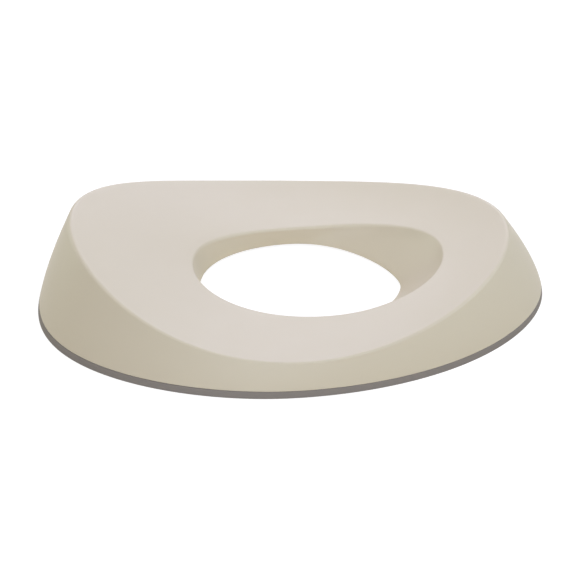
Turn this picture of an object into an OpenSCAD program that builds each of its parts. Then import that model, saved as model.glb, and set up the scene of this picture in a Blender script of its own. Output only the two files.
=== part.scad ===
// Potty training seat: a saddle-shaped ring that rests on an adult toilet seat and
// makes its opening child sized. Millimetres, +X to the front of the seat, +Z up.
// The origin is the middle of the flat underside.

/* [Outline on the floor] */
// Length of the seat from back to front
seat_len = 391; // [360:1:420]
// Width of the seat
seat_w = 301; // [280:1:330]
// How far the widest place lies behind the middle
seat_egg = 17.5; // [0:0.5:24]
// Bluntness of the back end, where 2 is an ellipse and more is flatter
back_blunt = 2.5; // [1.9:0.05:2.8]
// Bluntness of the front end
front_blunt = 1.85; // [1.8:0.05:2.4]
// Straightness of the sides towards the back, where 2 is an ellipse
back_side_blunt = 1.8; // [1.7:0.05:2.4]
// Straightness of the sides towards the front
front_side_blunt = 2; // [1.7:0.05:2.4]

/* [Outer wall] */
// How far the wall leans in at the back
back_lean = 27.5; // [15:0.5:38]
// How far the wall leans in at the front
front_lean = 31; // [15:0.5:38]
// How far the wall leans in at the sides
side_lean = 7.5; // [4:0.5:16]
// How strongly the wall swells outwards at the back, where 1 is straight
back_swell = 1.2; // [1:0.05:1.8]
// How strongly the wall swells outwards at the front, where 1 is straight
front_swell = 1.45; // [1:0.05:1.8]

/* [Top] */
// Height of the top edge at the back
back_h = 70; // [60:1:80]
// Height of the top edge at the front, over the splash guard
front_h = 57; // [50:1:70]
// Height of the top edge where the sides dip lowest
low_h = 24.8; // [22:0.2:34]
// Place of that dip, forward of the middle
low_x = 4; // [-20:1:20]
// How late the sides rise to the back, where 1 is a straight rise
back_rise = 2.25; // [1.4:0.05:3]
// How late the sides rise to the front, where 1 is a straight rise
front_rise = 1.85; // [1.4:0.05:3]
// How far the edge of the hole lies under the top edge
dish = 7.8; // [4:0.2:10]
// Extra hollow of the top between its two edges
top_sag = 1.5; // [0:0.25:3]
// Bluntness of the top edge's outline, where 2 is an ellipse
top_blunt = 1.97; // [1.8:0.01:2.4]
// How far the top edge is widest behind its middle
top_egg = 4.5; // [0:0.5:10]
// Radius of the top edge at the sides
side_edge_r = 2.7; // [1.5:0.1:4]
// Radius of the top edge at the back
end_edge_r = 5.7; // [3:0.1:8]

/* [Hole] */
// Length of the hole at the top
hole_len = 192; // [170:1:205]
// Width of the hole at the top
hole_w = 138; // [120:1:150]
// How far the hole lies forward of the middle
hole_forward = 20; // [8:0.5:24]
// Bluntness of the hole's ends at the top, where 2 is an ellipse
hole_blunt = 2.15; // [1.9:0.05:2.5]
// Radius of the rounded lip between the top and the hole's wall
lip_r = 8; // [3:0.5:10]
// How far the splash guard's wall leans back at its foot
guard_lean = 33; // [10:1:40]
// Draft of the hole's wall at the back
hole_back_draft = 4.5; // [1:0.5:8]
// Draft of the hole's wall at the sides
hole_side_draft = 0.2; // [0.2:0.1:3]
// Bluntness of the hole's front end at its foot, where 2 is an ellipse
foot_blunt = 1.65; // [1.6:0.05:2.3]
// Height of the hole wall's lower edge over the floor
foot_gap = 2; // [1:0.1:4]
// Height of the splash guard's lower edge over the floor
guard_gap = 0.6; // [0.4:0.1:2]
// Radius of that lower edge
foot_r = 1; // [0.4:0.1:1.2]

/* [Moulding] */
// Thickness of the shell
shell_t = 2.8; // [2.4:0.1:3.4]
// Number of stiffening ribs under the top
rib_count = 14; // [8:2:20]
// Thickness of a rib
rib_t = 2; // [1.4:0.1:3]
// Gap between the non-slip rim and the ribs' lower edges
rib_clearance = 5; // [3:0.5:8]

/* [Non-slip rim] */
// Height of the rim on the outside
rim_h = 5.3; // [4:0.1:8]
// Thickness of the rim's outer lip
rim_lip_t = 1.2; // [0.8:0.1:1.4]
// Thickness of the rim's inner lip
rim_inner_t = 1.4; // [0.8:0.1:2.5]
// How far the inner lip stands over the outer one
rim_inner_rise = 1; // [0:0.5:2.5]
// Thickness of the rim under the shell
rim_floor_t = 2; // [1.2:0.1:3]
// Radius of the rim's lower edges
rim_edge_r = 0.5; // [0.3:0.1:1]
// Play between the shell's edge and the rim's groove
rim_play = 0.1; // [0.05:0.05:0.2]

/* [Hidden] */

// Sections round the seat, and points on each rounded part of a section
stations = 84;
outer_steps = 5;
inner_steps = 3;
small_steps = 2;

// Share of the top, from each edge, on which a rounded edge ends
blend = 0.2;
// Share of the wall's height at which the top edge's rounding has ended
wall_blend = 0.8;
// How far a cut runs on past the underside
overcut = 1;

half_len = seat_len / 2;
edge_back_x = -half_len + back_lean;
edge_front_x = half_len - front_lean;
hole_back_x = hole_forward - hole_len / 2;
hole_front_x = hole_forward + hole_len / 2;
groove_inset = rim_lip_t + rim_play;
rim_top = rim_h + rim_inner_rise;
rib_z = rim_top + rib_clearance;

// A power that keeps the sign of its base
function signed_pow(v, p) = sign(v) * pow(abs(v), p);

// A vector of length 1
function unit(v) = v / norm(v);

// A value that goes from one at the back to another at the front, at angle t
function back_to_front(t, back, front) = back + (front - back) * (1 + cos(t)) / 2;

// Point of an egg-shaped outline at angle t, front 0 and back 180, between two places along
// the seat. Ends and sides give the bluntness of each at the back and at the front.
function egg(t, back_x, front_x, half_w, shift, ends, sides) =
    let (
        along = signed_pow(cos(t), 2 / back_to_front(t, sides[0], sides[1])),
        across = signed_pow(sin(t), 2 / back_to_front(t, ends[0], ends[1])),
        mid = (front_x + back_x) / 2,
        reach = (front_x - back_x) / 2
    )
    [mid + reach * along - shift * (1 - along * along), half_w * across];

// The four outlines of the seat
function base_xy(t) =
    egg(
        t, -half_len, half_len, seat_w / 2, seat_egg,
        [back_blunt, front_blunt], [back_side_blunt, front_side_blunt]
    );
function edge_xy(t) =
    let (blunt = [top_blunt, top_blunt])
    egg(t, edge_back_x, edge_front_x, seat_w / 2 - side_lean, top_egg, blunt, blunt);
function hole_xy(t) =
    let (blunt = [hole_blunt, hole_blunt])
    egg(t, hole_back_x, hole_front_x, hole_w / 2, 0, blunt, blunt);
function foot_xy(t) =
    let (
        blunt = [hole_blunt, foot_blunt],
        half_w = hole_w / 2 - hole_side_draft
    )
    egg(t, hole_back_x + hole_back_draft, hole_front_x - guard_lean, half_w, 0, blunt, blunt);

// Height of the saddle's outer edge over a place along the seat
function saddle_z(x) =
    let (
        to_back = max(0, (low_x - x) / (low_x - edge_back_x)),
        to_front = max(0, (x - low_x) / (edge_front_x - low_x))
    )
    low_h + (back_h - low_h) * pow(to_back, back_rise) + (front_h - low_h) * pow(to_front, front_rise);

// Corners of the section at angle t: top edge, edge of the hole, foot of the hole's wall
function edge_pt(t) = let (p = edge_xy(t)) [p.x, p.y, saddle_z(p.x)];
function hole_pt(t) = let (p = hole_xy(t)) [p.x, p.y, saddle_z(p.x) - dish];
function foot_pt(t) =
    let (
        p = foot_xy(t),
        forward = max(0, cos(t))
    )
    [p.x, p.y, foot_gap + (guard_gap - foot_gap) * forward * forward];

// Outward normals of the outline on the floor and of the hole's foot
function base_normal(t) = let (d = base_xy(t + 0.5) - base_xy(t - 0.5)) unit([d.y, -d.x, 0]);
function foot_normal(t) = let (d = foot_xy(t + 0.5) - foot_xy(t - 0.5)) unit([d.y, -d.x, 0]);

// How much wider a sloping wall from a to b is when it is measured level
function slant(a, b) = norm(b - a) / abs(b.z - a.z);

// Level thickness of the outer wall and of the hole's wall at angle t
function outer_t(t) = let (b = base_xy(t)) shell_t * slant([b.x, b.y, 0], edge_pt(t));
function inner_t(t) = shell_t * slant(foot_pt(t), hole_pt(t));

// Point of the outer wall at height z, moved in by inset
function wall_pt(t, z, inset = 0) =
    let (
        b = base_xy(t),
        e = edge_pt(t),
        share = pow(min(1, max(0, z / e.z)), back_to_front(t, back_swell, front_swell))
    )
    [b.x + (e.x - b.x) * share, b.y + (e.y - b.y) * share, z] - base_normal(t) * inset;

// Point of the foot of the hole's wall, moved out by outset
function foot_wall_pt(t, outset) = foot_pt(t) + foot_normal(t) * outset;

// Point of the hollow top between a hole corner (share 0) and an edge corner (share 1)
function top_pt(hole, edge, share) =
    hole + (edge - hole) * share - [0, 0, 4 * top_sag * share * (1 - share)];

// Points of a rounded corner at c on the way from a to b, as far as the two sides reach
function rounded(a, c, b, r, steps) =
    let (
        u = unit(a - c),
        v = unit(b - c),
        half = acos(u * v) / 2,
        reach = min(r / tan(half), 0.9 * norm(a - c), 0.9 * norm(b - c)),
        centre = c + unit(u + v) * reach / cos(half),
        first = c + u * reach - centre,
        last = c + v * reach - centre,
        turn = 180 - 2 * half
    )
    [
        for (k = [0 : steps])
            centre + (first * sin(turn * (1 - k / steps)) + last * sin(turn * k / steps)) / sin(turn)
    ];

// Radius of the top edge, which follows the height of the saddle
function edge_r(t) =
    let (rise = (edge_pt(t).z - low_h) / (back_h - low_h))
    side_edge_r + (end_edge_r - side_edge_r) * min(1, max(0, rise));

// Section from the hole's lip over the dished top and down the outer wall to height end_z, on
// the surface that lies a share of the wall's thickness under the outside
function saddle_section(t, share, steps, end_z) =
    let (
        hole = hole_pt(t) + unit(edge_pt(t) - hole_pt(t)) * inner_t(t) * share - [0, 0, shell_t * share],
        edge = edge_pt(t) - base_normal(t) * outer_t(t) * share - [0, 0, shell_t * share],
        foot = foot_wall_pt(t, inner_t(t) * share),
        inset = outer_t(t) * share,
        wall_top = wall_pt(t, edge.z * wall_blend, inset),
        lip_end = top_pt(hole, edge, blend),
        edge_start = top_pt(hole, edge, 1 - blend),
        lip = max(shell_t / 2, lip_r - shell_t * share),
        edge_radius = max(shell_t / 4, edge_r(t) - shell_t * share)
    )
    [
        each rounded(foot, hole, lip_end, lip, steps),
        for (k = [0 : steps - 1]) top_pt(hole, edge, blend + (1 - 2 * blend) * k / (steps - 1)),
        each rounded(edge_start, edge, wall_top, edge_radius, steps),
        for (k = [0 : steps]) wall_pt(t, wall_top.z + (end_z - wall_top.z) * k / steps, inset)
    ];

// Section of the shell's wall: the hole's foot, the outside, the step that seats the rim, the inside
function shell_section(t) =
    let (
        foot_back = foot_wall_pt(t, inner_t(t)),
        inside = saddle_section(t, 1, inner_steps, rim_top)
    )
    [
        each rounded(foot_back, foot_pt(t), hole_pt(t), foot_r, small_steps),
        each saddle_section(t, 0, outer_steps, rim_h),
        wall_pt(t, rim_h, groove_inset),
        wall_pt(t, rim_floor_t, groove_inset),
        wall_pt(t, rim_floor_t, outer_t(t)),
        for (k = [len(inside) - 1 : -1 : 0]) inside[k],
        foot_back
    ];

// Section of the space that the ribs fill, half way into the shell's wall all round
function rib_section(t) =
    [foot_wall_pt(t, inner_t(t) / 2), each saddle_section(t, 0.5, inner_steps, rim_top)];

// Section of the rim, a soft channel that hugs the shell's lower edge
function rim_section(t) =
    let (
        outer = wall_pt(t, rim_h),
        groove = outer_t(t) + rim_play,
        back = groove + rim_inner_t,
        inner_r = rim_inner_t / 2
    )
    [
        wall_pt(t, rim_floor_t, groove_inset - rim_play),
        wall_pt(t, rim_h, groove_inset - rim_play),
        outer,
        wall_pt(t, rim_h / 2),
        each rounded(
            wall_pt(t, rim_h / 2), wall_pt(t, 0), wall_pt(t, 0, groove), rim_edge_r, small_steps
        ),
        wall_pt(t, -overcut, rim_edge_r),
        wall_pt(t, -overcut, back - rim_edge_r),
        each rounded(
            wall_pt(t, 0, groove), wall_pt(t, 0, back), wall_pt(t, rim_h, back), rim_edge_r, small_steps
        ),
        wall_pt(t, rim_top - inner_r, back),
        wall_pt(t, rim_top, back - inner_r),
        wall_pt(t, rim_top, groove),
        wall_pt(t, rim_floor_t, groove)
    ];

// Closed ring of sections, each with the same number of points
module ring_body(sections) {
    count = len(sections);
    size = len(sections[0]);
    polyhedron(
        points = [for (s = sections) each s],
        faces = [
            for (i = [0 : count - 1], j = [0 : size - 1])
                let (
                    a = i * size + j,
                    b = i * size + (j + 1) % size,
                    c = (i + 1) % count * size + (j + 1) % size,
                    d = (i + 1) % count * size + j
                )
                each [[a, c, b], [a, d, c]]
        ],
        convexity = 8
    );
}

// Upright plate from the foot of the hole's wall to the outer wall at angle t
module rib_plate(t) {
    hull()
        for (p = [foot_xy(t), base_xy(t)])
            translate([p.x, p.y, rib_z])
                cylinder(d = rib_t, h = back_h, $fn = 8);
}

// Thin moulding with ribs in its hollow
module seat_shell() {
    color([0.85, 0.82, 0.79]) {
        ring_body([for (i = [0 : stations - 1]) shell_section(i * 360 / stations)]);
        intersection() {
            ring_body([for (i = [0 : stations - 1]) rib_section(i * 360 / stations)]);
            for (i = [0 : rib_count - 1])
                rib_plate((i + 0.5) * 360 / rib_count);
        }
    }
}

// Soft rim, trimmed to a flat underside at the floor
module non_slip_rim() {
    color([0.48, 0.46, 0.45])
        difference() {
            ring_body([for (i = [0 : stations - 1]) rim_section(i * 360 / stations)]);
            translate([-seat_len, -seat_w, -2 * overcut])
                cube([2 * seat_len, 2 * seat_w, 2 * overcut]);
        }
}

seat_shell();
non_slip_rim();
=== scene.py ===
"""Dresses the potty training seat: a moulded saddle on a soft non-slip rim, in a pale studio.

The seat's form follows one rule. Four outlines lie round it (the floor, the top edge, the
hole and the hole's foot), and a section joins them at every angle. Geometry trees work that
rule out point by point, so the shell, its ribs and the rim all seat on the same surfaces.
Lengths are metres and angles radians. +X is the front of the seat and +Z is up.
"""

import enum
import logging
import math
from dataclasses import dataclass, field, fields
from typing import Callable, Sequence, Union

import bmesh
import bpy
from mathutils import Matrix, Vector


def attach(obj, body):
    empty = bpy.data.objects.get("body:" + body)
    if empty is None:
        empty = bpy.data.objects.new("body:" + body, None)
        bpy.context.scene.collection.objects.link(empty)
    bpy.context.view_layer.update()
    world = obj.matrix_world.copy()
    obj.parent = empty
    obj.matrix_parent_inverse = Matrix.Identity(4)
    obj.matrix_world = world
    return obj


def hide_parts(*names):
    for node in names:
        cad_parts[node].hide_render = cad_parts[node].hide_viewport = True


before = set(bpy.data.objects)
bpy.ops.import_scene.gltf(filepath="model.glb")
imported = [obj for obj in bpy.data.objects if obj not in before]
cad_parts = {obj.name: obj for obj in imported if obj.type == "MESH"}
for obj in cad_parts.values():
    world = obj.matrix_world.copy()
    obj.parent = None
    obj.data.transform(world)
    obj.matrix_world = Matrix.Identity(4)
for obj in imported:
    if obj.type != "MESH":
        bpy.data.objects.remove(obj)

LOG = logging.getLogger("potty_seat")
BODY = "root"
FULL_TURN = 2 * math.pi
# An edge whose faces turn by this much or more stays sharp.
SHARP_ANGLE = math.radians(40)
# The radius of a corner that stays sharp.
SHARP = 0.0
# A straight way has no points between its ends.
STRAIGHT_ROWS = 1
# The numbers of the colour sockets of a Mix node, whose names repeat.
MIX_FACTOR, MIX_FIRST, MIX_SECOND, MIX_RESULT = 0, 6, 7, 2

Colour = tuple[float, float, float]
WHITE: Colour = (1.0, 1.0, 1.0)


class Term:
    """One value of a geometry tree, a number or a point, held as the socket that carries it."""

    def __init__(self, socket: bpy.types.NodeSocket) -> None:
        """Keep the socket that carries the value."""
        self.socket = socket

    @property
    def tree(self) -> bpy.types.NodeTree:
        """The tree that the value belongs to."""
        return self.socket.id_data

    @property
    def is_point(self) -> bool:
        """Whether the value is a point or a direction, and not a number."""
        return self.socket.type == "VECTOR"

    @property
    def x(self) -> "Term":
        """The value's part along X."""
        return part_along(self, 0)

    @property
    def y(self) -> "Term":
        """The value's part along Y."""
        return part_along(self, 1)

    @property
    def z(self) -> "Term":
        """The value's part along Z."""
        return part_along(self, 2)

    def __add__(self, other: "Value") -> "Term":
        """Add a number to a number, or a point to a point."""
        return worked("ADD", self, other)

    def __radd__(self, other: float) -> "Term":
        """Add this value to a plain number."""
        return worked("ADD", other, self)

    def __sub__(self, other: "Value") -> "Term":
        """Take a number from a number, or a point from a point."""
        return worked("SUBTRACT", self, other)

    def __rsub__(self, other: float) -> "Term":
        """Take this value from a plain number."""
        return worked("SUBTRACT", other, self)

    def __mul__(self, other: "Value") -> "Term":
        """Multiply two numbers, or make a point longer by a number.

        Args:
            other: The other factor.

        Returns:
            The product.
        """
        if self.is_point:
            return worked("SCALE", self, other)
        if isinstance(other, Term) and other.is_point:
            return worked("SCALE", other, self)
        return worked("MULTIPLY", self, other)

    def __rmul__(self, other: float) -> "Term":
        """Multiply a plain number by this value."""
        return self * other

    def __truediv__(self, other: "Value") -> "Term":
        """Divide a number or a point by a number.

        Args:
            other: The number.

        Returns:
            The quotient.
        """
        if self.is_point:
            return self * (1 / other)
        return worked("DIVIDE", self, other)

    def __rtruediv__(self, other: float) -> "Term":
        """Divide a plain number by this value."""
        return worked("DIVIDE", other, self)

    def __neg__(self) -> "Term":
        """Turn the value round."""
        return self * -1.0


Value = Union[Term, float]
Stretch = tuple[int, Callable[[Term], Term]]


def make_node(tree: bpy.types.NodeTree, kind: str, inputs: dict, **settings: object) -> bpy.types.Node:
    """Add a node to a tree and fill its inputs.

    Args:
        tree: The tree that gets the node.
        kind: The node's type name.
        inputs: What goes into each input, by its name or number: a term, a socket or a plain value.
        settings: The node's own properties.

    Returns:
        The new node.
    """
    node = tree.nodes.new(kind)
    for name, setting in settings.items():
        setattr(node, name, setting)
    for key, value in inputs.items():
        socket = node.inputs[key]
        if isinstance(value, Term):
            tree.links.new(value.socket, socket)
        elif isinstance(value, bpy.types.NodeSocket):
            tree.links.new(value, socket)
        else:
            socket.default_value = value
    return node


def worked(operation: str, *values: Value) -> Term:
    """Work out one operation on numbers or on points.

    Args:
        operation: The name of the operation in a math node or a vector math node.
        values: What it works on, at least one of them a term.

    Returns:
        The result as a term.
    """
    tree = next(value.tree for value in values if isinstance(value, Term))
    if operation == "SCALE":
        inputs = {"Vector": values[0], "Scale": values[1]}
        return Term(make_node(tree, "ShaderNodeVectorMath", inputs, operation=operation).outputs["Vector"])
    points = any(isinstance(value, Term) and value.is_point for value in values)
    kind = "ShaderNodeVectorMath" if points else "ShaderNodeMath"
    node = make_node(tree, kind, dict(enumerate(values)), operation=operation)
    gives_point = points and operation not in ("DOT_PRODUCT", "LENGTH")
    return Term(node.outputs["Vector" if gives_point else "Value"])


def part_along(value: Term, axis: int) -> Term:
    """Return a point's part along one axis, counted from 0."""
    node = make_node(value.tree, "ShaderNodeSeparateXYZ", {0: value})
    return Term(node.outputs[axis])


def point(x: Value, y: Value, z: Value) -> Term:
    """Return the point with these three parts, at least one of them a term."""
    tree = next(value.tree for value in (x, y, z) if isinstance(value, Term))
    return Term(make_node(tree, "ShaderNodeCombineXYZ", {"X": x, "Y": y, "Z": z}).outputs["Vector"])


def up(height: Term) -> Term:
    """Return the step straight up by a height."""
    return point(0.0, 0.0, height)


def at_height(place: Term, height: Value) -> Term:
    """Return the point straight above or below a place, at a height."""
    return point(place.x, place.y, height)


def length_of(value: Term) -> Term:
    """Return the length of a direction."""
    return worked("LENGTH", value)


def unit(value: Term) -> Term:
    """Return the direction of a value, with length 1."""
    return worked("NORMALIZE", value)


def right_of(way: Term) -> Term:
    """Return the level direction to the right of a way."""
    return unit(point(way.y, -way.x, 0.0))


def signed_pow(value: Term, power: Value) -> Term:
    """Return a power that keeps the sign of its base."""
    return worked("SIGN", value) * worked("POWER", worked("ABSOLUTE", value), power)


def least(first: Value, second: Value) -> Term:
    """Return the smaller of two numbers."""
    return worked("MINIMUM", first, second)


def most(first: Value, second: Value) -> Term:
    """Return the larger of two numbers."""
    return worked("MAXIMUM", first, second)


def between(first: Value, last: Value, share: Value) -> Term:
    """Return the value that lies a share of the way from first to last."""
    return first + (last - first) * share


def chosen(condition: Term, yes: Term, no: Term) -> Term:
    """Return one value where a condition holds and another where it doesn't.

    Args:
        condition: The condition.
        yes: The value where it holds.
        no: The value where it doesn't.

    Returns:
        The value.
    """
    kind = "VECTOR" if yes.is_point else "FLOAT"
    inputs = {"Switch": condition, "False": no, "True": yes}
    return Term(make_node(yes.tree, "GeometryNodeSwitch", inputs, input_type=kind).outputs["Output"])


class Formula:
    """A formula that is drawn once as a node group, which every use of it shares."""

    RESULT = "result"

    def __init__(self, rule: Callable[..., Union[Term, dict[str, Term]]]) -> None:
        """Keep the rule that works the formula out."""
        self.rule = rule
        self.group: Union[bpy.types.NodeTree, None] = None

    def __call__(self, **values: Value) -> Union[Term, dict[str, Term]]:
        """Add one use of the formula to the tree that its values belong to.

        Args:
            values: The formula's values by name, at least one of them a term.

        Returns:
            The result, or all of them by name where the rule gives several.
        """
        tree = next(value.tree for value in values.values() if isinstance(value, Term))
        if self.group is None:
            self.group = self.drawn(values)
        node = make_node(tree, "GeometryNodeGroup", values, node_tree=self.group)
        results = {socket.name: Term(socket) for socket in node.outputs}
        return results.get(self.RESULT, results)

    def drawn(self, values: dict[str, Value]) -> bpy.types.NodeTree:
        """Draw the node group.

        Args:
            values: The values of the first use, which tell points from numbers.

        Returns:
            The group.
        """
        group = bpy.data.node_groups.new(self.rule.__name__, "GeometryNodeTree")
        for name, value in values.items():
            is_point = isinstance(value, Term) and value.is_point
            kind = "NodeSocketVector" if is_point else "NodeSocketFloat"
            group.interface.new_socket(name, in_out="INPUT", socket_type=kind)
        entry = group.nodes.new("NodeGroupInput")
        found = self.rule(**{name: Term(entry.outputs[name]) for name in values})
        results = found if isinstance(found, dict) else {self.RESULT: found}
        for name, result in results.items():
            kind = "NodeSocketVector" if result.is_point else "NodeSocketFloat"
            group.interface.new_socket(name, in_out="OUTPUT", socket_type=kind)
        make_node(group, "NodeGroupOutput", results)
        return group


@Formula
def curve_point(start: Term, leave: Term, arrive: Term, end: Term, share: Term) -> Term:
    """Return the point at a share of the way along a smooth curve between two points.

    Args:
        start: Where the curve starts.
        leave: Its direction there, as long as the curve.
        arrive: Its direction at the end, as long as the curve.
        end: Where it ends.
        share: The share of the way.

    Returns:
        The point.
    """
    rest = 1 - share
    first = start * (rest * rest * (1 + 2 * share)) + leave * (share * rest * rest)
    last = end * (share * share * (3 - 2 * share)) - arrive * (share * share * rest)
    return first + last


def curve(start: Term, leave: Term, arrive: Term, end: Term) -> Callable[[Term], Term]:
    """Return the rule for a smooth curve, from a share of its way to a point."""
    return lambda share: curve_point(start=start, leave=leave, arrive=arrive, end=end, share=share)


@Formula
def corner_parts(before: Term, tip: Term, after: Term, radius: Term) -> dict[str, Term]:
    """Return where the rounding of a corner starts and ends, and how it turns.

    Args:
        before: A point on the side that comes before the corner.
        tip: The corner itself.
        after: A point on the side that comes after it.
        radius: The radius, which is cut back where a side is too short for it.

    Returns:
        The corner's directions, its two ends, its centre and the angle that it turns through.
    """
    reach_share = 0.9
    back = unit(before - tip)
    ahead = unit(after - tip)
    half = worked("ARCCOSINE", worked("DOT_PRODUCT", back, ahead)) / 2
    room = least(reach_share * length_of(before - tip), reach_share * length_of(after - tip))
    reach = least(radius / worked("TANGENT", half), room)
    centre = tip + unit(back + ahead) * (reach / worked("COSINE", half))
    turn = math.pi - 2 * half
    return {
        "back": back,
        "ahead": ahead,
        "start": tip + back * reach,
        "end": tip + ahead * reach,
        "centre": centre,
        "turn": turn,
    }


@Formula
def corner_point(start: Term, end: Term, centre: Term, turn: Term, share: Term) -> Term:
    """Return the point at a share of the way round a corner.

    Args:
        start: Where the rounding starts.
        end: Where it ends.
        centre: Its centre.
        turn: The angle that it turns through.
        share: The share of the way.

    Returns:
        The point.
    """
    first = worked("SINE", turn * (1 - share))
    last = worked("SINE", turn * share)
    return centre + ((start - centre) * first + (end - centre) * last) / worked("SINE", turn)


class Corner:
    """A rounded corner of a section, from one straight side to the other."""

    def __init__(self, before: Term, tip: Term, after: Term, radius: Value) -> None:
        """Work out where the rounding starts and ends.

        Args:
            before: A point on the side that comes before the corner.
            tip: The corner itself.
            after: A point on the side that comes after it.
            radius: The radius of the rounding.
        """
        parts = corner_parts(before=before, tip=tip, after=after, radius=radius)
        self.back = parts["back"]
        self.ahead = parts["ahead"]
        self.start = parts["start"]
        self.end = parts["end"]
        self.centre = parts["centre"]
        self.turn = parts["turn"]

    def at(self, share: Term) -> Term:
        """Return the point at a share of the way round the corner."""
        return corner_point(start=self.start, end=self.end, centre=self.centre, turn=self.turn, share=share)


@dataclass(frozen=True)
class SeatForm:
    """The outlines, walls and top of the seat, shared by the shell, its ribs and the rim.

    A lean or a draft is how far a wall leans in, and an egg is how far an outline's widest place
    lies behind its middle. Some names are plain numbers: blunt is an outline's power, where 2 is
    an ellipse and more is squarer, swell and rise are the powers of the outer wall's and the
    saddle's curves, and a scoop above 1 hollows out the hole's wall.
    """

    seat_len: float = 0.391
    seat_w: float = 0.301
    seat_egg: float = 0.0175
    back_blunt: float = 2.5
    front_blunt: float = 1.85
    back_side_blunt: float = 1.8
    front_side_blunt: float = 2.0
    back_lean: float = 0.0275
    front_lean: float = 0.031
    side_lean: float = 0.0075
    back_swell: float = 1.2
    front_swell: float = 1.45
    back_h: float = 0.0689
    front_h: float = 0.0565
    low_h: float = 0.0248
    low_x: float = 0.004
    back_rise: float = 2.25
    front_rise: float = 1.85
    dish: float = 0.0078
    top_sag: float = 0.0015
    top_blunt: float = 1.97
    top_egg: float = 0.0045
    side_edge_r: float = 0.0022
    end_edge_r: float = 0.0032
    hole_len: float = 0.192
    hole_w: float = 0.138
    hole_forward: float = 0.020
    hole_blunt: float = 2.15
    lip_r: float = 0.0035
    guard_lean: float = 0.033
    hole_back_draft: float = 0.0045
    hole_side_draft: float = 0.0002
    foot_blunt: float = 1.65
    foot_gap: float = 0.002
    guard_gap: float = 0.0006
    guard_scoop: float = 1.3
    shell_t: float = 0.0028
    rim_h: float = 0.0053
    rim_lip_t: float = 0.0012
    rim_inner_t: float = 0.0014
    rim_inner_rise: float = 0.001
    rim_floor_t: float = 0.002
    rim_play: float = 0.0001


def from_back(angle: Term, back: Value, front: Value) -> Term:
    """Return a value that goes from one at the back to another at the front."""
    return between(back, front, (1 + worked("COSINE", angle)) / 2)


@Formula
def egg_point(
    angle: Term, back_x: Term, front_x: Term, half_w: Term, shift: Term, side_blunt: Term, end_blunt: Term
) -> Term:
    """Return the point of an egg-shaped outline at an angle, at height 0.

    Args:
        angle: The angle, 0 at the front.
        back_x: Where the outline ends at the back.
        front_x: Where it ends at the front.
        half_w: Half its width.
        shift: How far its widest place lies behind its middle.
        side_blunt: How blunt its sides are at this angle.
        end_blunt: How blunt its ends are at this angle.

    Returns:
        The point.
    """
    along = signed_pow(worked("COSINE", angle), 2 / side_blunt)
    across = signed_pow(worked("SINE", angle), 2 / end_blunt)
    reach = (front_x - back_x) / 2
    return point(back_x + reach * (1 + along) - shift * (1 - along * along), half_w * across, 0.0)


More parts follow.
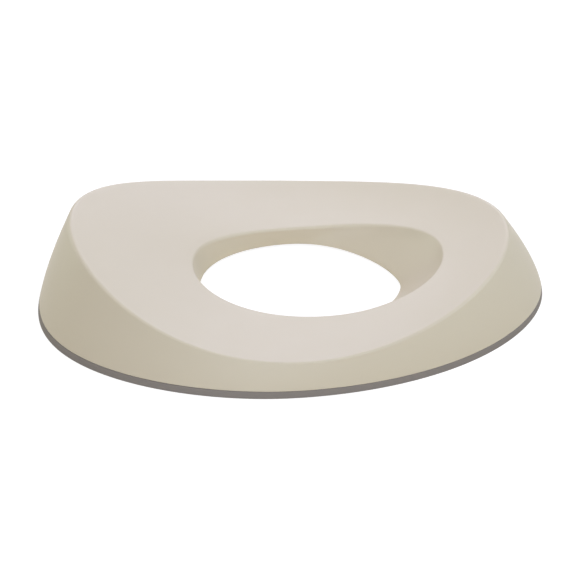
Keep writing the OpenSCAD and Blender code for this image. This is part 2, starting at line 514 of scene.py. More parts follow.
class Outlines:
    """The four outlines of the seat, each a rule from an angle to a point."""

    NORMAL_STEP = math.radians(0.5)

    def __init__(self, sizes: dict[str, Term]) -> None:
        """Work out where the outlines end.

        Args:
            sizes: The sizes of the seat, by the names of SeatForm.
        """
        self.s = sizes
        self.half_len = sizes["seat_len"] / 2
        self.edge_back_x = sizes["back_lean"] - self.half_len
        self.edge_front_x = self.half_len - sizes["front_lean"]
        self.hole_back_x = sizes["hole_forward"] - sizes["hole_len"] / 2
        self.hole_front_x = sizes["hole_forward"] + sizes["hole_len"] / 2

    def base_at(self, angle: Term) -> Term:
        """Return the point of the outline on the floor.

        Args:
            angle: The angle, 0 at the front.

        Returns:
            The point.
        """
        s = self.s
        return egg_point(
            angle=angle,
            back_x=-self.half_len,
            front_x=self.half_len,
            half_w=s["seat_w"] / 2,
            shift=s["seat_egg"],
            side_blunt=from_back(angle, s["back_side_blunt"], s["front_side_blunt"]),
            end_blunt=from_back(angle, s["back_blunt"], s["front_blunt"]),
        )

    def edge_at(self, angle: Term) -> Term:
        """Return the corner between the top and the outer wall.

        Args:
            angle: The angle, 0 at the front.

        Returns:
            The point.
        """
        s = self.s
        flat = egg_point(
            angle=angle,
            back_x=self.edge_back_x,
            front_x=self.edge_front_x,
            half_w=s["seat_w"] / 2 - s["side_lean"],
            shift=s["top_egg"],
            side_blunt=s["top_blunt"],
            end_blunt=s["top_blunt"],
        )
        return flat + up(self.saddle_z(flat.x))

    def hole_at(self, angle: Term) -> Term:
        """Return the corner between the top and the wall of the hole.

        Args:
            angle: The angle, 0 at the front.

        Returns:
            The point.
        """
        s = self.s
        flat = egg_point(
            angle=angle,
            back_x=self.hole_back_x,
            front_x=self.hole_front_x,
            half_w=s["hole_w"] / 2,
            shift=0.0,
            side_blunt=s["hole_blunt"],
            end_blunt=s["hole_blunt"],
        )
        return flat + up(self.saddle_z(flat.x) - s["dish"])

    def foot_at(self, angle: Term) -> Term:
        """Return the foot of the hole's wall, which reaches lower under the splash guard.

        Args:
            angle: The angle, 0 at the front.

        Returns:
            The point.
        """
        s = self.s
        blunt = from_back(angle, s["hole_blunt"], s["foot_blunt"])
        flat = egg_point(
            angle=angle,
            back_x=self.hole_back_x + s["hole_back_draft"],
            front_x=self.hole_front_x - s["guard_lean"],
            half_w=s["hole_w"] / 2 - s["hole_side_draft"],
            shift=0.0,
            side_blunt=blunt,
            end_blunt=blunt,
        )
        forward = most(0.0, worked("COSINE", angle))
        return flat + up(between(s["foot_gap"], s["guard_gap"], forward * forward))

    def saddle_z(self, x: Term) -> Term:
        """Return the height of the top's outer edge over a place along the seat.

        Args:
            x: The place.

        Returns:
            The height.
        """
        s = self.s
        to_back = most(0.0, (s["low_x"] - x) / (s["low_x"] - self.edge_back_x))
        to_front = most(0.0, (x - s["low_x"]) / (self.edge_front_x - s["low_x"]))
        back = (s["back_h"] - s["low_h"]) * worked("POWER", to_back, s["back_rise"])
        front = (s["front_h"] - s["low_h"]) * worked("POWER", to_front, s["front_rise"])
        return s["low_h"] + back + front

    def normal_of(self, outline: Callable[[Term], Term], angle: Term) -> Term:
        """Return the outward normal of an outline at an angle, seen from above."""
        return right_of(outline(angle + self.NORMAL_STEP) - outline(angle - self.NORMAL_STEP))


@Formula
def section_parts(angle: Term, **sizes: Term) -> dict[str, Term]:
    """Return what a section through the seat is made from.

    Args:
        angle: The angle of the section.
        sizes: The sizes of the seat, by the names of SeatForm.

    Returns:
        The section's corners and normals, the level widths of both walls and the walls' powers.
    """
    outlines = Outlines(sizes)
    base = outlines.base_at(angle)
    foot = outlines.foot_at(angle)
    edge = outlines.edge_at(angle)
    hole = outlines.hole_at(angle)
    rise = edge - base
    drop = hole - foot
    return {
        "base": base,
        "foot": foot,
        "edge": edge,
        "hole": hole,
        "base_normal": outlines.normal_of(outlines.base_at, angle),
        "foot_normal": outlines.normal_of(outlines.foot_at, angle),
        "outer_t": sizes["shell_t"] * length_of(rise) / rise.z,
        "inner_t": sizes["shell_t"] * length_of(drop) / drop.z,
        "swell": from_back(angle, sizes["back_swell"], sizes["front_swell"]),
        "scoop": from_back(angle, 1.0, sizes["guard_scoop"]),
    }


@Formula
def scoop_point(foot: Term, lip: Term, scoop: Term, share: Term) -> Term:
    """Return the point at a share of the height of the hole's wall, which may be hollowed out."""
    flat = between(lip, foot, worked("POWER", 1 - share, scoop))
    return at_height(flat, between(foot.z, lip.z, share))


@Formula
def wall_point(base: Term, edge: Term, normal: Term, swell: Term, height: Term, inset: Term) -> Term:
    """Return the point of the outer wall at a height.

    Args:
        base: The wall's lower end, on the floor.
        edge: Its upper end.
        normal: Its outward normal, seen from above.
        swell: The power of its curve.
        height: The height.
        inset: How far the point is moved in.

    Returns:
        The point.
    """
    share = worked("POWER", least(1.0, most(0.0, height / edge.z)), swell)
    return at_height(base + (edge - base) * share - normal * inset, height)


class Layer(enum.Enum):
    """A surface of the moulding, by its depth as a share of the wall's thickness."""

    OUTSIDE = 0.0
    MIDDLE = 0.5
    INSIDE = 1.0


class Section:
    """The section through the seat at one angle, as terms of a geometry tree.

    Angle 0 is the front and half a turn is the back, as on every outline.
    """

    # The upper corners start and end in line with these shares of the top and of the two walls.
    TOP_SHARE = 0.2
    WALL_SHARE = 0.8
    LIP_SHARE = 0.85
    # Each wall is drawn in two stretches, which meet half way. A small step gives the slope there.
    HALF_WAY = 0.5
    SLOPE_STEP = 0.02
    # The smallest roundings of the upper corners, as shares of the wall's thickness.
    LEAST_LIP = 0.5
    LEAST_BROW = 0.25

    def __init__(self, sizes: dict[str, Term], angle: Term) -> None:
        """Work out the corners of the section.

        Args:
            sizes: The sizes of the seat, by the names of SeatForm.
            angle: The angle of the section.
        """
        self.s = sizes
        parts = section_parts(angle=angle, **{item.name: sizes[item.name] for item in fields(SeatForm)})
        self.base = parts["base"]
        self.foot = parts["foot"]
        self.edge = parts["edge"]
        self.hole = parts["hole"]
        self.base_normal = parts["base_normal"]
        self.foot_normal = parts["foot_normal"]
        self.outer_t = parts["outer_t"]
        self.inner_t = parts["inner_t"]
        self.swell = parts["swell"]
        self.scoop = parts["scoop"]

    def wall(self, height: Value, inset: Value = 0.0) -> Term:
        """Return the point of the outer wall at a height, moved in by an inset."""
        return wall_point(
            base=self.base,
            edge=self.edge,
            normal=self.base_normal,
            swell=self.swell,
            height=height,
            inset=inset,
        )

    def foot_in(self, layer: Layer) -> Term:
        """Return the foot of the hole's wall, on one surface of the moulding."""
        return self.foot + self.foot_normal * (self.inner_t * layer.value)

    def lip_in(self, layer: Layer) -> Term:
        """Return the top corner of the hole's wall, on one surface of the moulding."""
        inward = unit(self.edge - self.hole) * (self.inner_t * layer.value)
        return self.hole + inward - up(self.s["shell_t"] * layer.value)

    def hole_wall(self, share: float, layer: Layer) -> Term:
        """Return the point of the hole's wall at a share of its height, on one surface."""
        return scoop_point(foot=self.foot_in(layer), lip=self.lip_in(layer), scoop=self.scoop, share=share)

    def saddle(self, layer: Layer, steps: dict[str, int], start: Term, end_z: Value) -> list[Stretch]:
        """Return the way from the hole's foot up over the top and down the outer wall.

        Args:
            layer: The surface of the moulding that the way lies on.
            steps: The number of rows on each stretch, by its name.
            start: Where the way starts, at the foot of the hole's wall.
            end_z: The height at which the way ends.

        Returns:
            The stretches in order.
        """
        s = self.s
        depth = s["shell_t"] * layer.value
        inset = self.outer_t * layer.value
        hole = self.lip_in(layer)
        edge = self.edge - self.base_normal * inset - up(depth)
        wall_top = self.wall(edge.z * self.WALL_SHARE, inset)
        span = edge - hole
        # The top sags as a parabola does, whose lowest point is half way across.
        sag = up(4 * s["top_sag"] * self.TOP_SHARE * (1 - self.TOP_SHARE))
        lip_end = hole + span * self.TOP_SHARE - sag
        edge_start = hole + span * (1 - self.TOP_SHARE) - sag
        rise = (self.edge.z - s["low_h"]) / (s["back_h"] - s["low_h"])
        edge_r = between(s["side_edge_r"], s["end_edge_r"], least(1.0, most(0.0, rise)))
        lip_r = most(s["shell_t"] * self.LEAST_LIP, s["lip_r"] - depth)
        brow_r = most(s["shell_t"] * self.LEAST_BROW, edge_r - depth)
        lip = Corner(self.hole_wall(self.LIP_SHARE, layer), hole, lip_end, lip_r)
        brow = Corner(edge_start, edge, wall_top, brow_r)
        top_len = length_of(brow.start - lip.end)
        leave = unit(self.hole_wall(self.SLOPE_STEP, layer) - self.foot_in(layer))
        waist = self.hole_wall(self.HALF_WAY, layer)
        above = self.hole_wall(self.HALF_WAY + self.SLOPE_STEP, layer)
        climb = unit(above - self.hole_wall(self.HALF_WAY - self.SLOPE_STEP, layer))
        low_len = length_of(waist - start)
        high_len = length_of(lip.start - waist)
        mid_z = between(end_z, brow.end.z, self.HALF_WAY)
        mid = self.wall(mid_z, inset)
        small = (brow.end.z - end_z) * self.SLOPE_STEP
        fall = unit(self.wall(mid_z - small, inset) - self.wall(mid_z + small, inset))
        fall_len = length_of(mid - brow.end)
        return [
            (steps["hole"], curve(start, leave * low_len, climb * low_len, waist)),
            (steps["hole"], curve(waist, climb * high_len, lip.back * -high_len, lip.start)),
            (steps["lip"], lip.at),
            (steps["top"], curve(lip.end, lip.ahead * top_len, brow.back * -top_len, brow.start)),
            (steps["brow"], brow.at),
            (steps["upper"], curve(brow.end, brow.ahead * fall_len, fall * fall_len, mid)),
            (steps["lower"], lambda share: self.wall(between(mid_z, end_z, share), inset)),
        ]


def straight(start: Term, end: Term) -> Callable[[Term], Term]:
    """Return the rule for a straight way between two points."""
    return lambda share: between(start, end, share)


def chain(corners: Sequence[tuple[Term, Value]], round_rows: int) -> list[Stretch]:
    """Return the straight ways between corners, some of them rounded.

    Args:
        corners: Each corner and its radius, which is SHARP where it isn't rounded.
        round_rows: The number of rows on each rounded corner.

    Returns:
        The stretches from the first corner to the last.
    """
    stretches: list[Stretch] = []
    start = corners[0][0]
    for before, (tip, radius), after in zip(corners, corners[1:], [*corners[2:], None]):
        if isinstance(radius, Term) and after is not None:
            corner = Corner(before[0], tip, after[0], radius)
            stretches.append((STRAIGHT_ROWS, straight(start, corner.start)))
            stretches.append((round_rows, corner.at))
            start = corner.end
        else:
            stretches.append((STRAIGHT_ROWS, straight(start, tip)))
            start = tip
    return stretches


def backwards(stretches: Sequence[Stretch]) -> list[Stretch]:
    """Return a way that goes along the same stretches from their end to their start.

    Args:
        stretches: The stretches from start to end.

    Returns:
        The stretches from end to start.
    """

    def turned(rule: Callable[[Term], Term]) -> Callable[[Term], Term]:
        """Return a stretch's rule for the other direction."""
        return lambda share: rule(1 - share)

    return [(count, turned(rule)) for count, rule in reversed(stretches)]


def finish_mesh(mesh: bpy.types.Mesh) -> None:
    """Turn a mesh's faces outwards and shade it smooth between its sharp edges.

    Args:
        mesh: The mesh.
    """
    shape = bmesh.new()
    shape.from_mesh(mesh)
    bmesh.ops.recalc_face_normals(shape, faces=shape.faces)
    shape.to_mesh(mesh)
    shape.free()
    mesh.shade_smooth()
    mesh.set_sharp_from_angle(angle=SHARP_ANGLE)


class FormTree:
    """A geometry tree with a named input for each size, which makes one mesh by a rule."""

    def __init__(self, name: str, *size_sets: object) -> None:
        """Start the tree and give it its inputs.

        Args:
            name: The tree's name.
            size_sets: Dataclasses whose fields become the tree's inputs.
        """
        self.tree = bpy.data.node_groups.new(name, "GeometryNodeTree")
        self.tree.interface.new_socket("Geometry", in_out="OUTPUT", socket_type="NodeSocketGeometry")
        self.values: dict[str, float] = {}
        labels: dict[str, str] = {}
        for size_set in size_sets:
            for item in fields(size_set):
                label = item.name.replace("_", " ").capitalize()
                value = getattr(size_set, item.name)
                kind = "NodeSocketInt" if isinstance(value, int) else "NodeSocketFloat"
                socket = self.tree.interface.new_socket(label, in_out="INPUT", socket_type=kind)
                self.values[socket.identifier] = value
                labels[item.name] = label
        entry = self.tree.nodes.new("NodeGroupInput")
        self.sizes = {name: Term(entry.outputs[label]) for name, label in labels.items()}

    def numbered(self, source: bpy.types.NodeSocket, label: str) -> tuple[bpy.types.NodeSocket, Term]:
        """Number the points of a curve and carry the number along.

        Args:
            source: The curve.
            label: What the number counts.

        Returns:
            The curve that carries the number, and the number.
        """
        index = self.tree.nodes.new("GeometryNodeInputIndex")
        node = self.tree.nodes.new("GeometryNodeCaptureAttribute")
        node.domain = "POINT"
        node.capture_items.new("FLOAT", label)
        self.tree.links.new(source, node.inputs["Geometry"])
        self.tree.links.new(index.outputs["Index"], node.inputs[label])
        return node.outputs["Geometry"], Term(node.outputs[label])

    def circle(self, count: int) -> bpy.types.NodeSocket:
        """Return a closed curve with a number of points."""
        inputs = {"Resolution": count, "Radius": 1.0}
        return make_node(self.tree, "GeometryNodeCurvePrimitiveCircle", inputs).outputs["Curve"]

    def swept(
        self, way: bpy.types.NodeSocket, stretches: Sequence[Stretch], filled: bool
    ) -> tuple[bpy.types.NodeSocket, Term]:
        """Sweep a closed profile, with a point for each row of a section, along a way.

        Args:
            way: The way, as a curve.
            stretches: The section's stretches, which close on each other.
            filled: Whether both ends are closed with a face.

        Returns:
            The mesh, and the place of each of its points in the section.
        """
        rows = sum(count for count, _ in stretches)
        profile, row = self.numbered(self.circle(rows), "Row")
        inputs = {"Curve": way, "Profile Curve": profile, "Fill Caps": filled}
        mesh = make_node(self.tree, "GeometryNodeCurveToMesh", inputs).outputs["Mesh"]
        return mesh, self.along(stretches, row)

    def ring(self, stations: int, section: Callable[[Term], list[Stretch]]) -> bpy.types.NodeSocket:
        """Make a closed ring whose section follows a rule all the way round.

        Args:
            stations: The number of sections round the ring.
            section: The rule, from an angle to the section's stretches. They close on each other.

        Returns:
            The mesh.
        """
        way, station = self.numbered(self.circle(stations), "Station")
        stretches = section(station * (FULL_TURN / stations))
        mesh, place = self.swept(way, stretches, False)
        return self.moved(mesh, place)

    def beam(self, stretches: Sequence[Stretch]) -> tuple[bpy.types.NodeSocket, Term, Term]:
        """Make a straight beam with closed ends.

        Args:
            stretches: The stretches of the beam's section, which close on each other.

        Returns:
            The mesh, the end that a point lies on, 0 or 1, and its place in the section.
        """
        line = make_node(self.tree, "GeometryNodeCurvePrimitiveLine", {}).outputs["Curve"]
        way, end = self.numbered(line, "End")
        mesh, place = self.swept(way, stretches, True)
        return mesh, end, place

    def repeated(
        self, shape: bpy.types.NodeSocket, count: Value, label: str
    ) -> tuple[bpy.types.NodeSocket, Term]:
        """Repeat a shape a number of times, and number the copies.

        Args:
            shape: The shape.
            count: How many there are.
            label: What the number counts.

        Returns:
            All of them as one mesh, and the number of each.
        """
        spots = make_node(self.tree, "GeometryNodePoints", {"Count": count}).outputs["Points"]
        spots, number = self.numbered(spots, label)
        inputs = {"Points": spots, "Instance": shape}
        copies = make_node(self.tree, "GeometryNodeInstanceOnPoints", inputs).outputs["Instances"]
        real = make_node(self.tree, "GeometryNodeRealizeInstances", {"Geometry": copies})
        return real.outputs["Geometry"], number

    def along(self, stretches: Sequence[Stretch], row: Term) -> Term:
        """Return a point's place on a way, by the number of its row.

        Args:
            stretches: The stretches of the way.
            row: The number of the row, counted from 0 at the start of the way.

        Returns:
            The place.
        """
        half_row = 0.5
        place = None
        start = 0
        for count, rule in stretches:
            found = rule((row - start) / count)
            reached = worked("GREATER_THAN", row, start - half_row)
            place = found if place is None else chosen(reached, found, place)
            start += count
        return place

    def moved(self, shape: bpy.types.NodeSocket, place: Term) -> bpy.types.NodeSocket:
        """Move each point of a shape to its place."""
        inputs = {"Geometry": shape, "Position": place}
        return make_node(self.tree, "GeometryNodeSetPosition", inputs).outputs["Geometry"]

    def shared(self, first: bpy.types.NodeSocket, second: bpy.types.NodeSocket) -> bpy.types.NodeSocket:
        """Return what two solids have in common.

        Args:
            first: One solid.
            second: The other.

        Returns:
            The room that both fill.
        """
        node = make_node(self.tree, "GeometryNodeMeshBoolean", {}, operation="INTERSECT", solver="EXACT")
        for shape in (first, second):
            self.tree.links.new(shape, node.inputs["Mesh 2"])
        return node.outputs["Mesh"]

    def joined(self, *shapes: bpy.types.NodeSocket) -> bpy.types.NodeSocket:
        """Put shapes together into one.

        Args:
            shapes: The shapes.

        Returns:
            All of them as one.
        """
        node = self.tree.nodes.new("GeometryNodeJoinGeometry")
        for shape in shapes:
            self.tree.links.new(shape, node.inputs["Geometry"])
        return node.outputs["Geometry"]

    def bake(
        self, name: str, shape: bpy.types.NodeSocket, material: bpy.types.Material
    ) -> bpy.types.Object:
        """Run the tree once and keep what it makes as a plain, finished mesh.

        Args:
            name: The name of the piece.
            shape: What the tree makes.
            material: The finish of the piece.

        Returns:
            The piece, with no modifier left on it.
        """
        tree = self.tree
        real = make_node(tree, "GeometryNodeRealizeInstances", {"Geometry": shape}).outputs["Geometry"]
        dressed = make_node(tree, "GeometryNodeSetMaterial", {"Geometry": real, "Material": material})
        exit_node = tree.nodes.new("NodeGroupOutput")
        tree.links.new(dressed.outputs["Geometry"], exit_node.inputs["Geometry"])
        piece = bpy.data.objects.new(name, bpy.data.meshes.new(name))
        bpy.context.scene.collection.objects.link(piece)
        modifier = piece.modifiers.new("form", "NODES")
        modifier.node_group = tree
        for identifier, value in self.values.items():
            modifier[identifier] = value
        graph = bpy.context.evaluated_depsgraph_get()
        mesh = bpy.data.meshes.new_from_object(piece.evaluated_get(graph))
        piece.modifiers.remove(modifier)
        piece.data = mesh
        finish_mesh(mesh)
        return piece


@dataclass(frozen=True)
class ShellDetail:
    """The foot of the hole's wall, and the stepped edge that seats in the rim."""

    foot_r: float = 0.001
    seam_r: float = 0.0003
    seam_gap: float = 0.0001
    seam_land: float = 0.0006


@dataclass(frozen=True)
class RibForm:
    """The ribs in the shell's hollow, which stand across it like spokes."""

    rib_count: int = 14
    rib_t: float = 0.002
    rib_clearance: float = 0.005
    rib_nose_r: float = 0.0008


@dataclass(frozen=True)
class RimDetail:
    """The roundings of the soft rim."""

    rim_seam_r: float = 0.0003
    rim_edge_r: float = 0.0005
    rim_inner_r: float = 0.0007


@dataclass
class SeatShell:
    """The shell: one thin moulding with a dished top, a sloping wall and a splash guard."""

    form: SeatForm = field(default_factory=SeatForm)
    detail: ShellDetail = field(default_factory=ShellDetail)
    ribs: RibForm = field(default_factory=RibForm)
    stations: int = 384
    rib_stations: int = 192
    # The foot's corner turns into the wall's first slope, carried on to this many slope steps.
    foot_reach: float = 10.0
    land_rows: int = 3
    foot_rows: int = 4
    seam_rows: int = 4
    nose_rows: int = 5
    # The first rib stands this share of a step round from the front.
    first_rib: float = 0.5
    outer_rows: dict[str, int] = field(
        default_factory=lambda: {"hole": 6, "lip": 12, "top": 20, "brow": 12, "upper": 10, "lower": 8}
    )
    inner_rows: dict[str, int] = field(
        default_factory=lambda: {"hole": 4, "lip": 6, "top": 10, "brow": 6, "upper": 5, "lower": 4}
    )

    def section(self, sizes: dict[str, Term], angle: Term) -> list[Stretch]:
        """Return the section of the shell's wall, all the way round it.

        Args:
            sizes: The terms of the sizes.
            angle: The angle of the section.

        Returns:
            The stretches, from the back of the hole's foot over the top to the same place.
        """
        cut = Section(sizes, angle)
        edge_z = sizes["rim_h"] + sizes["seam_gap"]
        rim_top = sizes["rim_h"] + sizes["rim_inner_rise"]
        groove = sizes["rim_lip_t"] + sizes["rim_play"]
        land_z = edge_z + sizes["seam_land"]
        foot_back = cut.foot_in(Layer.INSIDE)
        rise_start = cut.hole_wall(cut.SLOPE_STEP, Layer.OUTSIDE)
        foot = Corner(foot_back, cut.foot, between(cut.foot, rise_start, self.foot_reach), sizes["foot_r"])
        land = [(self.land_rows, straight(foot_back, foot.start)), (self.foot_rows, foot.at)]
        outside = cut.saddle(Layer.OUTSIDE, self.outer_rows, foot.end, land_z)
        inside = cut.saddle(Layer.INSIDE, self.inner_rows, foot_back, rim_top)
        corners = [
            (cut.wall(land_z), SHARP),
            (cut.wall(edge_z), sizes["seam_r"]),
            (cut.wall(edge_z, groove), SHARP),
            (cut.wall(sizes["rim_floor_t"], groove), SHARP),
            (cut.wall(sizes["rim_floor_t"], cut.outer_t), SHARP),
            (cut.wall(rim_top, cut.outer_t), SHARP),
        ]
        return land + outside + chain(corners, self.seam_rows) + backwards(inside)

    def rib_space(self, sizes: dict[str, Term], angle: Term) -> list[Stretch]:
        """Return the section of the room that the ribs fill, half way into the shell's wall.

        Args:
            sizes: The terms of the sizes.
            angle: The angle of the section.

        Returns:
            The stretches, from the hole's foot over the top to the same place.
        """
        cut = Section(sizes, angle)
        rim_top = sizes["rim_h"] + sizes["rim_inner_rise"]
        foot = cut.foot_in(Layer.MIDDLE)
        wall_end = cut.wall(rim_top, cut.outer_t * Layer.MIDDLE.value)
        way = cut.saddle(Layer.MIDDLE, self.inner_rows, foot, rim_top)
        return way + [(STRAIGHT_ROWS, straight(wall_end, foot))]

    def plates(self, tree: FormTree) -> bpy.types.NodeSocket:
        """Stand the ribs' plates across the hollow, each with a rounded lower edge.

        Args:
            tree: The geometry tree that makes them.

        Returns:
            The plates, still reaching into the shell's wall and above it.
        """
        sizes = tree.sizes
        half = sizes["rib_t"] / 2
        low = sizes["rim_h"] + sizes["rim_inner_rise"] + sizes["rib_clearance"]
        nose = sizes["rib_nose_r"]
        top = sizes["back_h"]
        corners = [
            (point(0.0, -half, top), SHARP),
            (point(0.0, -half, low), nose),
            (point(0.0, half, low), nose),
            (point(0.0, half, top), SHARP),
            (point(0.0, -half, top), SHARP),
        ]
        plate, end, spot = tree.beam(chain(corners, self.nose_rows))
        plates, number = tree.repeated(plate, sizes["rib_count"], "Rib")
        cut = Section(sizes, (number + self.first_rib) * (FULL_TURN / sizes["rib_count"]))
        run = cut.base - at_height(cut.foot, 0.0)
        return tree.moved(plates, at_height(cut.foot, spot.z) + run * end + right_of(run) * spot.y)

    def build(self, material: bpy.types.Material) -> bpy.types.Object:
        """Make the shell as one mesh.

        Args:
            material: Its finish.

        Returns:
            The piece.
        """
        tree = FormTree("seat_shell_form", self.form, self.detail, self.ribs)
        skin = tree.ring(self.stations, lambda angle: self.section(tree.sizes, angle))
        space = tree.ring(self.rib_stations, lambda angle: self.rib_space(tree.sizes, angle))
        ribs = tree.shared(space, self.plates(tree))
        return tree.bake("moulded_shell", tree.joined(skin, ribs), material)


@dataclass
class GripRim:
    """The soft rim: a channel that hugs the shell's lower edge and grips what it stands on."""

    form: SeatForm = field(default_factory=SeatForm)
    detail: RimDetail = field(default_factory=RimDetail)
    stations: int = 384
    round_rows: int = 4
    # The rim's face follows the curve of the shell's wall through these shares of its height.
    face_shares: tuple[float, ...] = (0.75, 0.5, 0.25)

    def section(self, sizes: dict[str, Term], angle: Term) -> list[Stretch]:
        """Return the section of the rim, a channel that is open upwards.

        Args:
            sizes: The terms of the sizes.
            angle: The angle of the section.

        Returns:
            The stretches, from the floor of the channel round the rim to the same place.
        """
        cut = Section(sizes, angle)
        lip = sizes["rim_lip_t"]
        height = sizes["rim_h"]
        floor = sizes["rim_floor_t"]
        rim_top = height + sizes["rim_inner_rise"]
        groove = cut.outer_t + sizes["rim_play"]
        back = groove + sizes["rim_inner_t"]
        corners = [
            (cut.wall(floor, lip), SHARP),
            (cut.wall(height, lip), sizes["rim_seam_r"]),
            (cut.wall(height), sizes["rim_seam_r"]),
            *((cut.wall(height * share), SHARP) for share in self.face_shares),
            (cut.wall(0.0), sizes["rim_edge_r"]),
            (cut.wall(0.0, back), sizes["rim_edge_r"]),
            (cut.wall(rim_top, back), sizes["rim_inner_r"]),
            (cut.wall(rim_top, groove), SHARP),
            (cut.wall(floor, groove), SHARP),
            (cut.wall(floor, lip), SHARP),
        ]
        return chain(corners, self.round_rows)

    def build(self, material: bpy.types.Material) -> bpy.types.Object:
        """Make the rim as one mesh.

        Args:
            material: Its finish.

        Returns:
            The piece.
        """
        tree = FormTree("grip_rim_form", self.form, self.detail)
        skin = tree.ring(self.stations, lambda angle: self.section(tree.sizes, angle))
        return tree.bake("grip_rim", skin, material)


def opaque(colour: Colour) -> tuple[float, float, float, float]:
    """Return a colour as a colour socket takes it, with full cover."""
    return (*colour, 1.0)


@dataclass(frozen=True)
class Finish:
    """A moulded finish: a colour that drifts slowly, an uneven gloss and a fine grain."""

    name: str
    colour: Colour
    drift: float
    drift_size: float
    roughness: float
    roughness_spread: float
    grain_size: float
    grain_depth: float
    swirl_size: float
    specular: float = 0.5
    drift_detail: float = 3.0
    swirl_detail: float = 4.0
    grain_detail: float = 2.0
    noise_roughness: float = 0.5

    def material(self) -> bpy.types.Material:
        """Make the finish as a procedural material.

        Returns:
            The material.
        """
        material = bpy.data.materials.new(self.name)
        material.use_nodes = True
        tree = material.node_tree
        shader = tree.nodes["Principled BSDF"]
        place = tree.nodes.new("ShaderNodeTexCoord").outputs["Object"]
        drift = self.noise(place, self.drift_size, self.drift_detail)
        light = tuple(min(1.0, part * (1 + self.drift)) for part in self.colour)
        dark = tuple(part * (1 - self.drift) for part in self.colour)
        ramp = make_node(tree, "ShaderNodeValToRGB", {"Fac": drift})
        for element, colour in zip(ramp.color_ramp.elements, (dark, light)):
            element.color = opaque(colour)
        tree.links.new(ramp.outputs["Color"], shader.inputs["Base Color"])
        swirl = self.noise(place, self.swirl_size, self.swirl_detail)
        spread = {
            "Value": swirl,
            "To Min": self.roughness - self.roughness_spread,
            "To Max": self.roughness + self.roughness_spread,
        }
        rough = make_node(tree, "ShaderNodeMapRange", spread)
        tree.links.new(rough.outputs["Result"], shader.inputs["Roughness"])
        grain = self.noise(place, self.grain_size, self.grain_detail)
        relief = {"Height": grain, "Strength": 1.0, "Distance": self.grain_depth}
        bump = make_node(tree, "ShaderNodeBump", relief)
        tree.links.new(bump.outputs["Normal"], shader.inputs["Normal"])
        shader.inputs["Specular IOR Level"].default_value = self.specular
        return material

    def noise(self, place: bpy.types.NodeSocket, size: float, detail: float) -> bpy.types.NodeSocket:
        """Return a noise whose lumps are about a size across."""
        inputs = {"Vector": place, "Scale": 1 / size, "Detail": detail, "Roughness": self.noise_roughness}
        return make_node(place.id_data, "ShaderNodeTexNoise", inputs).outputs["Fac"]


SHELL_PLASTIC = Finish(
    name="shell_plastic",
    colour=(0.640, 0.580, 0.510),
    drift=0.008,
    drift_size=0.055,
    roughness=0.48,
    roughness_spread=0.04,
    grain_size=0.00045,
    grain_depth=0.00002,
    swirl_size=0.02,
)
RIM_RUBBER = Finish(
    name="rim_rubber",
    colour=(0.248, 0.226, 0.234),
    drift=0.03,
    drift_size=0.012,
    roughness=0.72,
    roughness_spread=0.06,
    grain_size=0.0004,
    grain_depth=0.00004,
    swirl_size=0.006,
    specular=0.35,
)


@dataclass(frozen=True)
class Lamp:
    """A soft box: where it stands, what it looks at, its size and its light."""

    name: str
    place: tuple[float, float, float]
    side: float
    power: float
    colour: Colour
    aim: tuple[float, float, float] = (0.0, 0.0, 0.03)

    def hang(self) -> None:
        """Put the lamp into the scene."""
        light = bpy.data.lights.new(self.name, "AREA")
        light.shape = "SQUARE"
        light.size = self.side
        light.energy = self.power
        light.color = self.colour
        lamp = bpy.data.objects.new(self.name, light)
        lamp.location = self.place
        lamp.rotation_euler = (Vector(self.aim) - Vector(self.place)).to_track_quat("-Z", "Y").to_euler()
        bpy.context.scene.collection.objects.link(lamp)


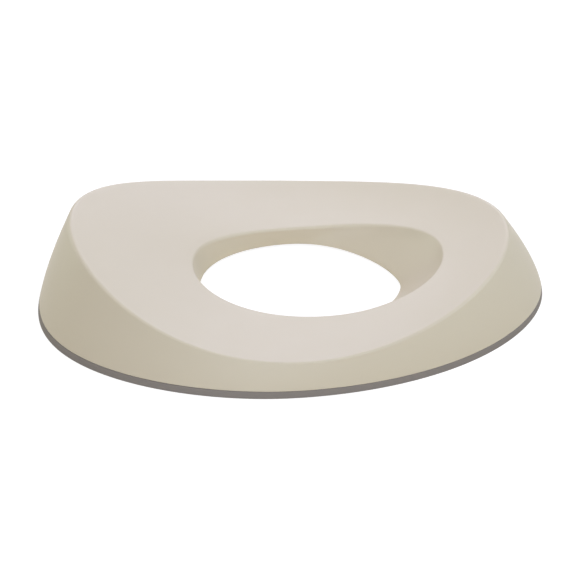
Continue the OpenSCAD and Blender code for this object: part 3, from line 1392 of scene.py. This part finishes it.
@dataclass(frozen=True)
class Studio:
    """The pale floor, the white surroundings, the soft boxes and the camera.

    The camera sees the floor in its own colour under a veil of white, which leaves a share of the
    shadow. The light that the floor sends back on to the seat has the bounce colour.
    """

    floor_side: float = 3.2
    floor_colour: Colour = (0.90, 0.90, 1.00)
    floor_bounce: Colour = (0.86, 0.75, 0.51)
    floor_shadow: float = 0.3
    floor_white: float = 1.25
    ambient: float = 0.15
    ambient_colour: Colour = (1.0, 0.90, 0.667)
    lamps: tuple[Lamp, ...] = (
        Lamp("top_box", (0.0, 0.0, 1.6), 1.6, 9.5, (1.0, 0.898, 0.681)),
        Lamp("back_box", (0.0, 1.7, 1.0), 1.2, 13.3, (0.771, 0.76, 1.0)),
        Lamp("front_box", (0.0, -1.8, 0.8), 1.2, 18.4, (0.823, 0.915, 0.99)),
        Lamp("left_back_box", (-1.5, 1.0, 0.45), 0.8, 6.3, (0.878, 1.0, 0.85)),
        Lamp("right_top_box", (1.2, 0.2, 1.3), 1.0, 9.7, (0.80, 0.946, 1.0)),
    )
    azimuth: float = math.radians(-1.5)
    elevation: float = math.radians(29.0)
    distance: float = 1.088
    target: tuple[float, float, float] = (-0.00147, 0.0, 0.030)
    lens: float = 87.51
    sensor: float = 36.0
    shift_y: float = -0.0603

    def build(self) -> None:
        """Set up the whole studio."""
        self.lay_floor()
        self.light_world()
        for lamp in self.lamps:
            lamp.hang()
        self.set_camera()
        bpy.context.scene.view_settings.view_transform = "Standard"

    @staticmethod
    def seen_directly(tree: bpy.types.NodeTree) -> Term:
        """Return 1 for a ray of the camera, a reflection or a clear piece, and 0 for others.

        Args:
            tree: The tree of the material or the world that asks.

        Returns:
            The number.
        """
        path = tree.nodes.new("ShaderNodeLightPath")
        camera, glossy, clear = (
            Term(path.outputs[name])
            for name in ("Is Camera Ray", "Is Glossy Ray", "Is Transmission Ray")
        )
        return most(camera, most(glossy, clear))

    @staticmethod
    def mixed(
        share: Term, first: bpy.types.NodeSocket, second: bpy.types.NodeSocket
    ) -> bpy.types.NodeSocket:
        """Return the mix of two shaders, with a share of the second."""
        inputs = dict(enumerate((share, first, second)))
        return make_node(share.tree, "ShaderNodeMixShader", inputs).outputs["Shader"]

    def lay_floor(self) -> None:
        """Lay the floor, which looks white and keeps the seat's shadow."""
        half = self.floor_side / 2
        mesh = bpy.data.meshes.new("floor")
        corners = [(-half, -half, 0.0), (half, -half, 0.0), (half, half, 0.0), (-half, half, 0.0)]
        mesh.from_pydata(corners, [], [(0, 1, 2, 3)])
        floor = bpy.data.objects.new("floor", mesh)
        bpy.context.scene.collection.objects.link(floor)
        material = bpy.data.materials.new("floor_white")
        material.use_nodes = True
        tree = material.node_tree
        tree.nodes.clear()
        seen = self.seen_directly(tree)
        tints = {
            MIX_FACTOR: seen,
            MIX_FIRST: opaque(self.floor_bounce),
            MIX_SECOND: opaque(self.floor_colour),
        }
        tint = make_node(tree, "ShaderNodeMix", tints, data_type="RGBA").outputs[MIX_RESULT]
        matt = make_node(tree, "ShaderNodeBsdfDiffuse", {"Color": tint}).outputs["BSDF"]
        glow = {"Color": opaque(WHITE), "Strength": self.floor_white}
        white = make_node(tree, "ShaderNodeEmission", glow).outputs["Emission"]
        mix = self.mixed(seen * (1 - self.floor_shadow), matt, white)
        make_node(tree, "ShaderNodeOutputMaterial", {"Surface": mix})
        mesh.materials.append(material)

    def light_world(self) -> None:
        """Make the surroundings white to look at, and a plain soft light."""
        world = bpy.data.worlds.new("studio")
        bpy.context.scene.world = world
        world.use_nodes = True
        tree = world.node_tree
        tree.nodes.clear()
        soft, white = (
            make_node(tree, "ShaderNodeBackground", {"Color": opaque(colour), "Strength": strength})
            for colour, strength in ((self.ambient_colour, self.ambient), (WHITE, 1.0))
        )
        seen = self.seen_directly(tree)
        mix = self.mixed(seen, soft.outputs["Background"], white.outputs["Background"])
        make_node(tree, "ShaderNodeOutputWorld", {"Surface": mix})

    def set_camera(self) -> None:
        """Look at the seat as the photograph does."""
        back = Vector(
            (
                math.sin(self.azimuth) * math.cos(self.elevation),
                -math.cos(self.azimuth) * math.cos(self.elevation),
                math.sin(self.elevation),
            )
        )
        lens = bpy.data.cameras.new("camera")
        lens.sensor_width = self.sensor
        lens.lens = self.lens
        lens.shift_y = self.shift_y
        camera = bpy.data.objects.new("camera", lens)
        camera.location = Vector(self.target) + back * self.distance
        camera.rotation_euler = (-back).to_track_quat("-Z", "Y").to_euler()
        bpy.context.scene.collection.objects.link(camera)
        bpy.context.scene.camera = camera


def place(piece: bpy.types.Object, node: str, slot: str) -> None:
    """Let a piece stand for a CAD node and report it.

    Args:
        piece: The piece.
        node: The node that it replaces.
        slot: The record's material slot for its finish; not used.
    """
    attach(piece, BODY)
    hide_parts(node)
    LOG.info("%s: %d vertices, %d faces", piece.name, len(piece.data.vertices), len(piece.data.polygons))


def main() -> None:
    """Build the studio and the seat, and report each piece's vertices and faces."""
    logging.basicConfig(level=logging.INFO, format="%(name)s: %(message)s")
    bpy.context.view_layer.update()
    Studio().build()
    place(SeatShell().build(SHELL_PLASTIC.material()), "seat_shell", "shell_plastic")
    place(GripRim().build(RIM_RUBBER.material()), "non_slip_rim", "rim_rubber")


if __name__ == "__main__":
    main()
